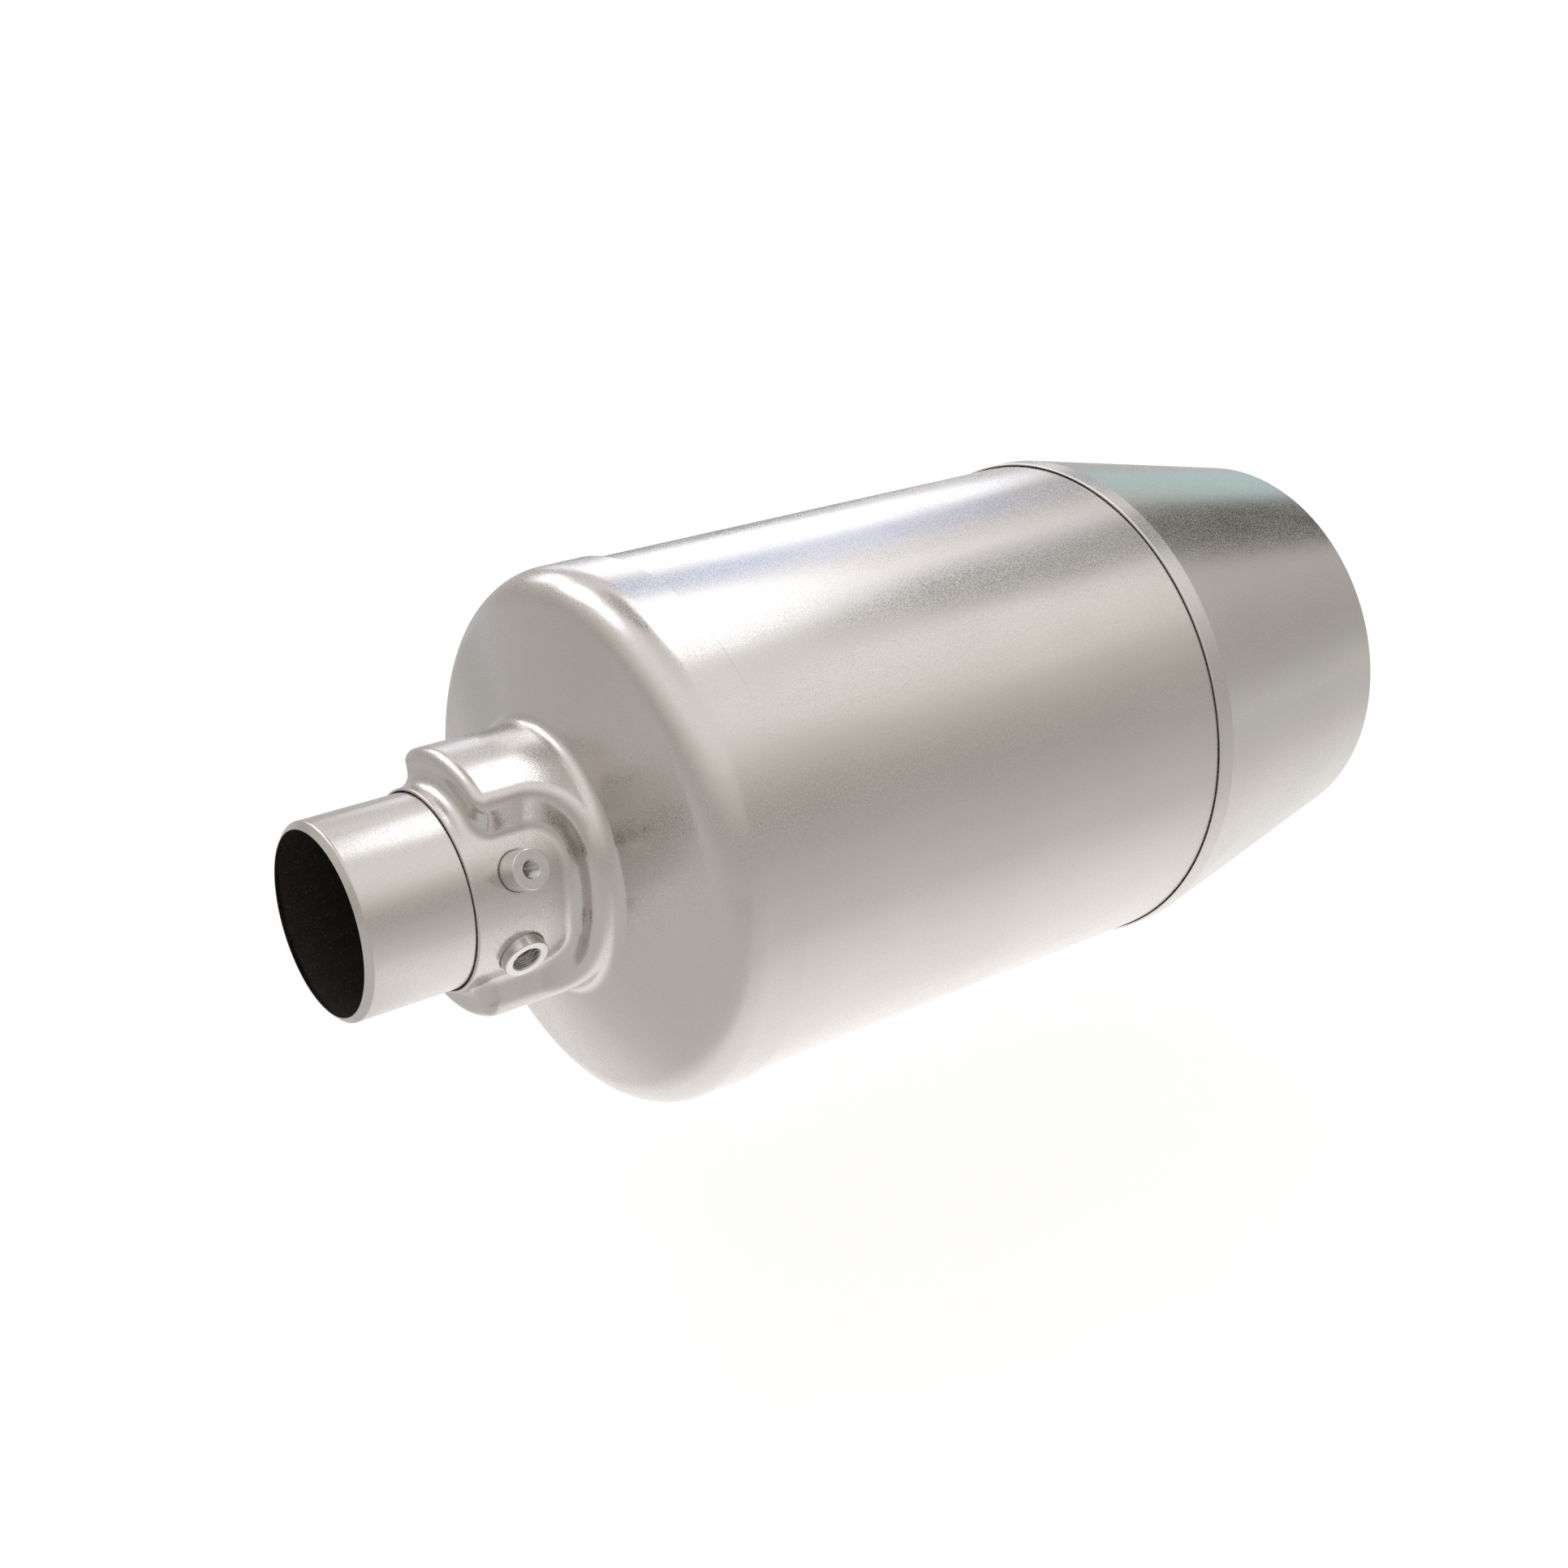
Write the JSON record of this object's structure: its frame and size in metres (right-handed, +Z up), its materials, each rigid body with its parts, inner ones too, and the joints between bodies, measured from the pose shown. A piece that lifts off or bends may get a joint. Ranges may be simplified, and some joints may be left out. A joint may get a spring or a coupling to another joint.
{
  "type": "scr catalytic converter",
  "caption": "Cylindrical stainless SCR catalytic converter with a necked outlet pipe, a sensor pocket with two threaded bosses, and a tapered open inlet cone.",
  "frame": {"origin": "centre of the outlet pipe's open mouth, on the converter's axis", "axes": "+X along the axis from the outlet pipe towards the inlet cone; -Y is the side with the sensor pocket; +Z up, so that the two sensor bosses lean 25 degrees above and below -Y"},
  "size_m": [0.7995, 0.36, 0.36],
  "materials": {
    "blasted_stainless": "fine bead-blasted satin stainless steel, new",
    "machined_stainless": "turned and chamfered bright stainless steel",
    "inner_stainless": "dull rolled stainless sheet inside the casing",
    "coated_cordierite": "matt wash-coated honeycomb ceramic",
    "fibre_mat": "compressed ceramic fibre mat"
  },
  "bodies": {
    "root": {"outlet_pipe": "blasted_stainless", "end_housing": "blasted_stainless", "main_shell": "blasted_stainless", "inlet_cone": "blasted_stainless", "temperature_sensor_boss": "machined_stainless", "nox_sensor_boss": "machined_stainless", "outlet_funnel": "inner_stainless", "inner_can": "inner_stainless", "inlet_liner": "inner_stainless", "flow_distributor": "inner_stainless", "outlet_end_ring": "inner_stainless", "rear_spacer_ring": "inner_stainless", "front_spacer_ring": "inner_stainless", "inlet_end_ring": "inner_stainless", "slip_brick": "coated_cordierite", "rear_reduction_brick": "coated_cordierite", "front_reduction_brick": "coated_cordierite", "slip_mat": "fibre_mat", "rear_reduction_mat": "fibre_mat", "front_reduction_mat": "fibre_mat", "outlet_insulation": "fibre_mat", "shell_insulation": "fibre_mat", "inlet_insulation": "fibre_mat"}
  },
  "joints": []
}
